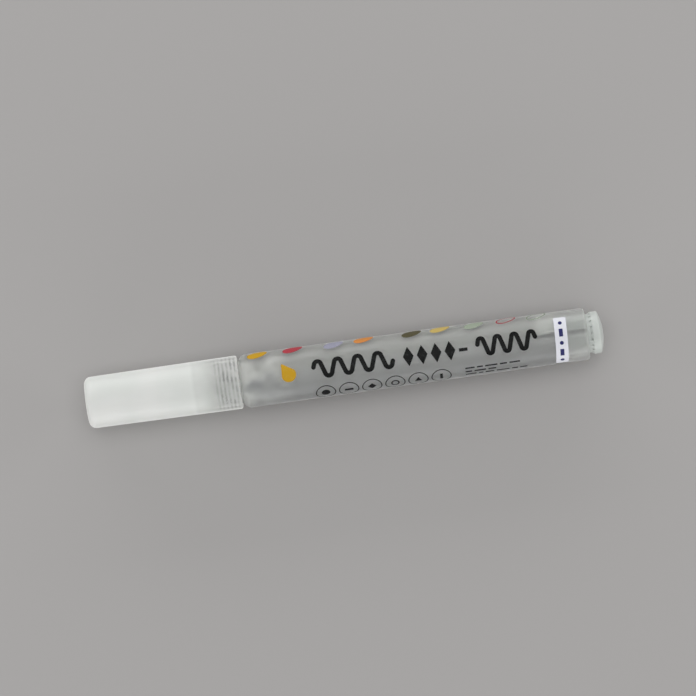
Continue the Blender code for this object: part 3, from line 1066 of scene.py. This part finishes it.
def buildCage():
    c = cageShape
    floor = cageRear - c["floorThickness"]
    corners = [
        (cageRear, c["guideHole"], crispEdge),
        (cageRear, c["radius"], softEdge),
        (cageFront, c["radius"], fineEdge),
        (cageFront, c["bore"], fineEdge),
        (floor, c["bore"], 0),
        (floor, c["guideHole"], 0),
    ]
    cage = turnPiece("valveCage", corners, c, valveFinish, "barrel", ["valve_cage"])
    slotFront = spigotRear + c["slotLand"]
    slotRear = floor - c["slotLand"]
    middle = Vector(((slotFront + slotRear) / 2 * mm, 0, axisHeight))
    across = c["slotWidth"] * mm
    through = 3 * c["radius"] * mm
    for sides in ((across, through), (through, across)):  # two crossing cuts make four windows
        cutter = bmesh.new()
        bmesh.ops.create_cube(cutter, size=1.0)
        bmesh.ops.scale(cutter, vec=((slotRear - slotFront) * mm, *sides), verts=cutter.verts[:])
        bmesh.ops.translate(cutter, vec=middle, verts=cutter.verts[:])
        window = addObject("cageWindow", meshFrom("cageWindow", cutter))
        cut = cage.modifiers.new("window", "BOOLEAN")
        cut.object = window
        cutMesh = finishedMesh(cage)
        cage.modifiers.remove(cut)
        cage.data = cutMesh
        bpy.data.objects.remove(window)


springShape = {"turns": 8, "perTurn": 24, "radius": 1.55, "wireRadius": 0.25, "wireResolution": 3}


def buildSpring():
    c = springShape
    count = c["turns"] * c["perTurn"]
    front = springFront + c["wireRadius"]
    rear = springRear - c["wireRadius"]
    points = []
    for i in range(count + 1):
        angle = fullTurn * i / c["perTurn"]
        y = c["radius"] * math.cos(angle) * mm
        z = c["radius"] * math.sin(angle) * mm
        points.append(((front + (rear - front) * i / count) * mm, y, axisHeight + z))
    wire, _ = addTube("springWire", points, c["wireRadius"] * mm, c["wireResolution"])
    spring = makePiece("valveSpring", curveToBmesh(wire), springFinish, "barrel", ["valve_spring"])
    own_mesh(spring)


def buildBall():
    low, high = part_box("mixing_ball")
    bm = bmesh.new()
    bmesh.ops.create_icosphere(bm, subdivisions=5, radius=(high.x - low.x) / 2)
    bmesh.ops.translate(bm, vec=(low + high) / 2, verts=bm.verts[:])
    makePiece("mixingBall", bm, ballFinish, "ball", ["mixing_ball"])


buildNose()
buildNib()
buildGasket()
buildPlunger()
buildCage()
buildSpring()
buildBall()
print("nose, nib and valve built")


# print on the barrel, drawn flat as (along, up) and then wrapped round it

printPlace = {
    "facing": 88.0,  # degrees round the axis, from the front over the top
    "standoff": 0.005,
    "ink": 0.02,  # thickness
    "sliceStep": 0.45,
    "sliceReach": 0.01,  # a slice takes the points nearer than this
}
ink = {
    "charcoal": srgb(9, 10, 10),
    "mustard": srgb(184, 143, 28),
    "red": srgb(160, 56, 66),
    "orange": srgb(192, 125, 62),
    "slate": srgb(142, 142, 158),
    "straw": srgb(182, 160, 92),
    "olive": srgb(76, 72, 50),
    "sage": srgb(142, 152, 136),
    "white": srgb(212, 213, 220),
    "navy": srgb(40, 42, 92),
}
inkMeshes = {colour: bmesh.new() for colour in ink}


def wrapOnBarrel(bm):
    facing = math.radians(printPlace["facing"])
    taper = (barrelShape["rearRadius"] - bodyRadius) / (barrelRim - shoulder)
    for vert in bm.verts:
        along, up, lift = vert.co
        surface = bodyRadius + taper * along
        angle = facing + up / surface
        radius = (surface + printPlace["standoff"] + lift) * mm
        x = (shoulder + along) * mm
        vert.co = (x, -math.cos(angle) * radius, axisHeight + math.sin(angle) * radius)


def sliceAcross(bm):
    # enough points up the barrel to follow its curve
    heights = [v.co.y for v in bm.verts]
    low, high = min(heights), max(heights)
    steps = math.ceil((high - low) / printPlace["sliceStep"])
    for i in range(1, steps):
        bmesh.ops.bisect_plane(
            bm,
            geom=bm.verts[:] + bm.edges[:] + bm.faces[:],
            dist=printPlace["sliceReach"],
            plane_co=(0, low + (high - low) * i / steps, 0),
            plane_no=(0, 1, 0),
        )


def addInk(colour, bm, along, up, turn=0.0, layer=0):
    # takes a flat shape drawn round the origin and lays it on the barrel
    turned = Matrix.Rotation(math.radians(turn), 3, "Z")
    bmesh.ops.rotate(bm, cent=(0, 0, 0), matrix=turned, verts=bm.verts[:])
    bmesh.ops.translate(bm, vec=(along, up, layer * printPlace["ink"]), verts=bm.verts[:])
    sliceAcross(bm)
    raised = bmesh.ops.extrude_face_region(bm, geom=bm.faces[:], use_keep_orig=True)["geom"]
    tops = [v for v in raised if isinstance(v, bmesh.types.BMVert)]
    bmesh.ops.translate(bm, vec=(0, 0, printPlace["ink"]), verts=tops)
    mergeInk(colour, bm)


def mergeInk(colour, bm):
    wrapOnBarrel(bm)
    bmesh.ops.recalc_face_normals(bm, faces=bm.faces[:])
    shape = meshFrom("inkShape", bm)
    inkMeshes[colour].from_mesh(shape)
    bpy.data.meshes.remove(shape)


def discShape(width, height, segments=40):
    bm = bmesh.new()
    bmesh.ops.create_circle(bm, cap_ends=True, radius=0.5, segments=segments)
    bmesh.ops.scale(bm, vec=(width, height, 1), verts=bm.verts[:])
    return bm


def ringShape(width, height, line, segments=48):
    bm = discShape(width, height, segments)
    bmesh.ops.inset_region(bm, faces=bm.faces[:], thickness=line, use_boundary=True, use_even_offset=True)
    inner = max(bm.faces, key=lambda face: len(face.verts))
    bmesh.ops.delete(bm, geom=[inner], context="FACES_ONLY")
    return bm


def barShape(width, height):
    bm = bmesh.new()
    bmesh.ops.create_grid(bm, x_segments=1, y_segments=1, size=0.5)
    bmesh.ops.scale(bm, vec=(width, height, 1), verts=bm.verts[:])
    return bm


brush = {"width": 1.25, "step": 0.1, "resolution": 4, "leastEnd": 0.02}


def addStroke(colour, path):
    # a round-ended brush line through the points of path
    half = brush["width"] / 2
    curve, run = addTube("brushLine", [(along, up, 0) for along, up in path], half, brush["resolution"])
    lengths = [0.0]
    for a, b in zip(path, path[1:]):
        lengths.append(lengths[-1] + math.dist(a, b))
    for point, far in zip(run, lengths):
        toEnd = min(1, min(far, lengths[-1] - far) / half)
        point.radius = math.sqrt(max(brush["leastEnd"], 1 - (1 - toEnd) ** 2))
    bm = curveToBmesh(curve)
    bmesh.ops.scale(bm, vec=(1, 1, printPlace["ink"] / brush["width"]), verts=bm.verts[:])
    bmesh.ops.translate(bm, vec=(0, 0, printPlace["ink"] / 2), verts=bm.verts[:])
    mergeInk(colour, bm)


# bends stay wider than half the brush, so that a line never folds over itself
waveLine = {"start": 20.5, "end": 43.0, "middle": 0.6, "turns": 8, "bend": 0.95, "steepness": 72.0}
zigLine = {"start": 66.5, "end": 83.0, "middle": 0.6, "turns": 7, "bend": 0.7, "steepness": 74.2}
lozengeRow = {"start": 47.2, "pitch": 3.9, "count": 4, "middle": 0.6, "size": (3.0, 5.6)}
dashMark = {"along": 62.6, "up": 0.4, "size": (2.4, 0.9)}


def walkPath(line):
    # straight legs up and down, joined by round bends, from the middle line to the middle line
    steep = math.radians(line["steepness"])
    bendLength = 2 * steep * line["bend"]
    reach = (line["end"] - line["start"]) / line["turns"]
    halfLeg = (reach - 2 * line["bend"] * math.sin(steep)) / math.cos(steep) / 2
    along, up = line["start"], line["middle"]
    path = [(along, up)]
    for i in range(line["turns"]):
        rise = -steep if i % 2 else steep
        legs = ((halfLeg, rise, rise), (bendLength, rise, -rise), (halfLeg, -rise, -rise))
        for length, first, last in legs:
            steps = math.ceil(length / brush["step"])
            for j in range(steps):
                heading = first + (last - first) * (j + 0.5) / steps
                along += length / steps * math.cos(heading)
                up += length / steps * math.sin(heading)
                path.append((along, up))
    return path


def drawBoldRow():
    for line in (waveLine, zigLine):
        addStroke("charcoal", walkPath(line))
    c = lozengeRow
    for i in range(c["count"]):
        addInk("charcoal", discShape(*c["size"], segments=4), c["start"] + i * c["pitch"], c["middle"])
    addInk("charcoal", barShape(*dashMark["size"]), dashMark["along"], dashMark["up"])


ringRow = {
    "start": 23.2,
    "pitch": 6.5,
    "up": -7.3,
    "size": 5.7,
    "line": 0.28,
    "markSize": 2.4,
    "markLine": 0.4,
}


def drawRingRow():
    c = ringRow
    size = c["markSize"]
    bar = c["markLine"] * 2
    marks = [
        discShape(size, size),
        barShape(size, bar),
        discShape(size, size, segments=4),
        ringShape(size, size, c["markLine"]),
        discShape(size, size, segments=3),
        barShape(bar, size),
    ]
    for i, mark in enumerate(marks):
        along = c["start"] + i * c["pitch"]
        addInk("charcoal", ringShape(c["size"], c["size"], c["line"]), along, c["up"])
        addInk("charcoal", mark, along, c["up"])


ruleLines = {
    "start": 62.5,
    "ups": (-5.4, -6.8, -8.2),
    "height": 0.5,
    "gap": 0.7,
    "dashes": ((2.6, 1.6, 3.4, 2.0, 3.0), (1.8, 3.2, 2.2), (3.0, 1.2, 2.4, 3.6, 1.6, 2.0)),
}


def drawRuleLines():
    c = ruleLines
    for up, dashes in zip(c["ups"], c["dashes"]):
        along = c["start"]
        for dash in dashes:
            addInk("charcoal", barShape(dash, c["height"]), along + dash / 2, up)
            along += dash + c["gap"]


tagPatch = {
    "along": 90.0,
    "up": -1.6,
    "size": (3.5, 15.6),
    "lean": -2.5,
    "dotSize": 1.1,
    "dashSize": (1.1, 2.2),
    "pitch": 2.9,
    "marksEachWay": 2,
    "edgeHeight": 0.5,
    "edgeDrop": 0.5,
}


def drawTag():
    c = tagPatch
    width, height = c["size"]

    def addTagInk(colour, shape, upTag, layer=0):
        along = c["along"] - upTag * math.tan(math.radians(c["lean"]))
        addInk(colour, shape, along, c["up"] + upTag, c["lean"], layer)

    addTagInk("white", barShape(width, height), 0)
    for i in range(-c["marksEachWay"], c["marksEachWay"] + 1):
        mark = barShape(*c["dashSize"]) if i % 2 else discShape(c["dotSize"], c["dotSize"])
        addTagInk("navy", mark, i * c["pitch"], layer=1)
    addTagInk("olive", barShape(width, c["edgeHeight"]), -height / 2 - c["edgeDrop"])


dabRow = {
    "up": 8.7,
    "size": (6.0, 3.4),
    "lean": 24.0,
    "places": (  # colour, along and up
        ("mustard", 5.5, 0.0),
        ("red", 15.5, 0.4),
        ("slate", 27.0, -0.2),
        ("orange", 35.5, 0.5),
        ("olive", 49.0, 0.0),
        ("straw", 57.0, 0.4),
        ("sage", 66.5, -0.1),
    ),
    "outlines": (("red", 75.5, 0.3), ("sage", 84.0, 0.1)),
    "line": 0.35,
}


def drawDabs():
    c = dabRow
    for colour, along, up in c["places"]:
        addInk(colour, discShape(*c["size"]), along, c["up"] + up, c["lean"])
    for colour, along, up in c["outlines"]:
        addInk(colour, ringShape(*c["size"], c["line"]), along, c["up"] + up, c["lean"])


dropMark = {
    "along": 13.6,
    "up": 0.2,
    "size": 4.2,
    "segments": 48,
    "tip": 3.6,
    "tipPower": 3,
    "pinch": 0.55,
    "pinchPower": 1.5,
    "lean": 28.0,
}


def drawDrop():
    # a plain paint drop: a disc with its top pulled out to a point
    c = dropMark
    half = c["size"] / 2
    bm = discShape(c["size"], c["size"], c["segments"])
    for vert in bm.verts:
        share = max(0.0, vert.co.y / half)
        vert.co.x *= 1 - c["pinch"] * share ** c["pinchPower"]
        vert.co.y += (c["tip"] - half) * share ** c["tipPower"]
    addInk("mustard", bm, c["along"], c["up"], c["lean"])


drawBoldRow()
drawRingRow()
drawRuleLines()
drawTag()
drawDabs()
drawDrop()
for colour, bm in inkMeshes.items():
    finish = inkFinish(colour + "Ink", ink[colour])
    makePiece("print" + colour.capitalize(), bm, finish, "barrel", [])
print("print laid on the barrel")


# floor, light and camera

studio = {
    "floor": srgb(166, 164, 163),
    "floorReach": 3.0,  # metres
    "floorShine": 0.1,
    "world": 0.34,
    "softboxes": (  # name, place and size in metres, power
        ("overhead", (0, 0.15, 1.6), (1.7, 1.7), 13.6),
        ("back", (0, 1.0, 0.2), (1.6, 0.32), 6.8),
        ("front", (0, -1.0, 0.15), (1.6, 0.26), 6.2),
        ("capSide", (-1.0, 0, 0.3), (1.2, 0.4), 3.0),
        ("plugSide", (1.0, 0, 0.3), (1.2, 0.4), 3.0),
    ),
}


def buildFloor():
    bm = bmesh.new()
    bmesh.ops.create_grid(bm, x_segments=1, y_segments=1, size=studio["floorReach"])
    mesh = meshFrom("floor", bm)
    look = {"Base Color": studio["floor"], "Roughness": 0.9, "Specular IOR Level": studio["floorShine"]}
    mesh.materials.append(startMaterial("paleFloor", look)[0])
    addObject("floor", mesh)


def buildLight():
    world = bpy.data.worlds.new("softRoom")
    world.use_nodes = True
    background = world.node_tree.nodes["Background"].inputs
    background["Color"].default_value = (1, 1, 1, 1)
    background["Strength"].default_value = studio["world"]
    bpy.context.scene.world = world
    marker = Vector((0, 0, axisHeight))
    for name, place, size, power in studio["softboxes"]:
        lamp = bpy.data.lights.new(name, "AREA")
        lamp.shape = "RECTANGLE"
        lamp.size, lamp.size_y = size
        lamp.energy = power
        box = addObject(name, lamp)
        box.location = place
        box.rotation_euler = (marker - Vector(place)).to_track_quat("-Z", "Y").to_euler()


shot = {
    "frameSide": 696,
    "middle": (344.9, 367.3),  # pixel where the middle of the marker's axis lies
    "length": 521.1,  # pixels along the marker
    "lean": 7.95,
    "elevation": 88.0,
    "distance": 1150.0,
    "sensor": 36.0,
    "nearest": 10.0,
}


def buildCamera():
    c = shot
    perPixel = (plugEnd - capEnd) / c["length"]
    up = math.radians(c["elevation"])
    back = Vector((0, -math.cos(up), math.sin(up)))
    flatUp = Vector((0, math.sin(up), math.cos(up)))
    lean = math.radians(c["lean"])
    right = Vector((math.cos(lean), 0, 0)) - flatUp * math.sin(lean)
    above = Vector((math.sin(lean), 0, 0)) + flatUp * math.cos(lean)
    aside = (c["frameSide"] / 2 - c["middle"][0]) * perPixel
    raised = (c["middle"][1] - c["frameSide"] / 2) * perPixel
    target = Vector(((capEnd + plugEnd) / 2 * mm, 0, axisHeight))
    lens = bpy.data.cameras.new("camera")
    lens.sensor_width = c["sensor"]
    lens.lens = c["sensor"] * c["distance"] / (c["frameSide"] * perPixel)
    lens.clip_start = c["nearest"] * mm
    camera = addObject("camera", lens)
    turned = Matrix((right, above, back)).transposed().to_4x4()
    place = target + back * c["distance"] * mm + right * aside * mm + above * raised * mm
    camera.matrix_world = Matrix.Translation(place) @ turned
    bpy.context.scene.camera = camera


buildFloor()
buildLight()
buildCamera()
bpy.context.scene.view_settings.view_transform = "Standard"
print("floor, light and camera set")
